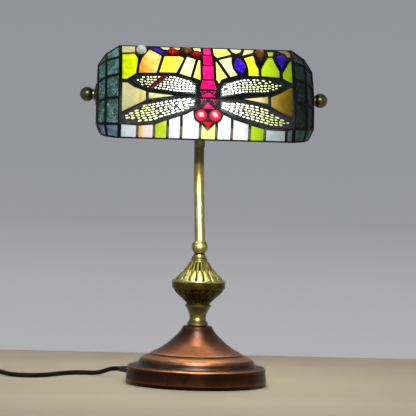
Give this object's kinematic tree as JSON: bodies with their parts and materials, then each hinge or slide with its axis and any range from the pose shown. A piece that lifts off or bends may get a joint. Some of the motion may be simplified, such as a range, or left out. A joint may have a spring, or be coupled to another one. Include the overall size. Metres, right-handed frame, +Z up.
{
  "type": "stained glass table lamp",
  "caption": "Table lamp with a half-barrel stained-glass shade that tilts between two ball knobs on a yoke, a bent brass stem, an urn neck and a round copper base, with cord and plug.",
  "frame": {"origin": "centre of the base's underside, on the table", "axes": "+Z up, -Y towards the viewer at the front, +X to the viewer's right along the shade"},
  "size_m": [0.5207, 0.1757, 0.4001],
  "materials": {
    "felt": "matte",
    "copper_patina": "dark copper patina",
    "antique_brass": "antique brass",
    "iron": "raw casting",
    "zinc": "zinc plated",
    "black_rubber": "satin",
    "phenolic": "matte",
    "bulb_white": "frosted",
    "nickel": "bright",
    "solder": "black patina on solder",
    "filigree": "black patina",
    "lime_glass": "opalescent",
    "yellow_glass": "opalescent",
    "cream_glass": "opalescent",
    "streaky_glass": "streaky",
    "amber_glass": "opalescent",
    "white_glass": "opalescent",
    "teal_glass": "rippled",
    "red_glass": "cathedral",
    "wing_glass": "opalescent",
    "navy_glass": "cathedral",
    "red_jewel": "faceted",
    "amber_jewel": "faceted",
    "blue_jewel": "faceted",
    "clear_jewel": "faceted",
    "black_cord": "satin",
    "black_plastic": "satin"
  },
  "bodies": {
    "stand": {"felt_pad": "felt", "base_shell": "copper_patina", "base_cone": "copper_patina", "base_weight": "iron", "threaded_rod": "zinc", "base_nut": "zinc", "strain_relief": "black_rubber", "lower_collar": "antique_brass", "urn_bowl": "antique_brass", "urn_cap": "antique_brass", "neck_rings": "antique_brass", "neck_ball": "antique_brass", "stem_tube": "antique_brass", "stem_nut": "zinc", "yoke": "antique_brass", "yoke_spacers": "zinc", "socket_bracket": "zinc", "socket_shell": "antique_brass", "socket_core": "phenolic", "screw_shell": "nickel", "centre_contact": "nickel", "cord_run": "black_cord", "cord_lead": "black_cord", "cord_coil": "black_cord", "cord_tail": "black_cord", "switch_case": "black_plastic", "plug_body": "black_plastic", "plug_pins": "nickel"},
    "bulb": {"bulb_glass": "bulb_white", "bulb_cap": "nickel", "bulb_tip": "nickel"},
    "shade": {"came_front": "solder", "came_back": "solder", "came_left": "solder", "came_right": "solder", "cup_washer_left": "antique_brass", "cup_washer_right": "antique_brass", "glass_lime": "lime_glass", "glass_yellow": "yellow_glass", "glass_cream": "cream_glass", "glass_streaky": "streaky_glass", "glass_amber": "amber_glass", "glass_skirt": "white_glass", "glass_teal_left": "teal_glass", "glass_teal_right": "teal_glass", "glass_body": "red_glass", "glass_wings": "wing_glass", "glass_navy": "navy_glass", "wing_filigree": "filigree", "jewels_red": "red_jewel", "jewels_amber": "amber_jewel", "jewels_blue": "blue_jewel", "jewels_clear": "clear_jewel"},
    "knob_left": {"knob_left": "antique_brass", "knob_left_stud": "zinc"},
    "knob_right": {"knob_right": "antique_brass", "knob_right_stud": "zinc"},
    "rocker": {"switch_rocker": "black_plastic"}
  },
  "joints": [
    {"name": "shade_tilt", "type": "hinge", "parent": "stand", "child": "shade", "pos_m": [0, 0, 0.341], "axis": [1, 0, 0], "range_deg": [-25, 35]},
    {"name": "knob_left_turn", "type": "hinge", "parent": "stand", "child": "knob_left", "pos_m": [-0.1385, 0, 0.341], "axis": [-1, 0, 0], "continuous": true},
    {"name": "knob_right_turn", "type": "hinge", "parent": "stand", "child": "knob_right", "pos_m": [0.1385, 0, 0.341], "axis": [1, 0, 0], "continuous": true},
    {"name": "bulb_turn", "type": "hinge", "parent": "stand", "child": "bulb", "pos_m": [0.06, 0, 0.341], "axis": [-1, 0, 0], "continuous": true},
    {"name": "switch_rock", "type": "hinge", "parent": "stand", "child": "rocker", "pos_m": [-0.279, 0.036, 0.014], "axis": [1, 0, 0], "range_deg": [-14, 0]}
  ]
}
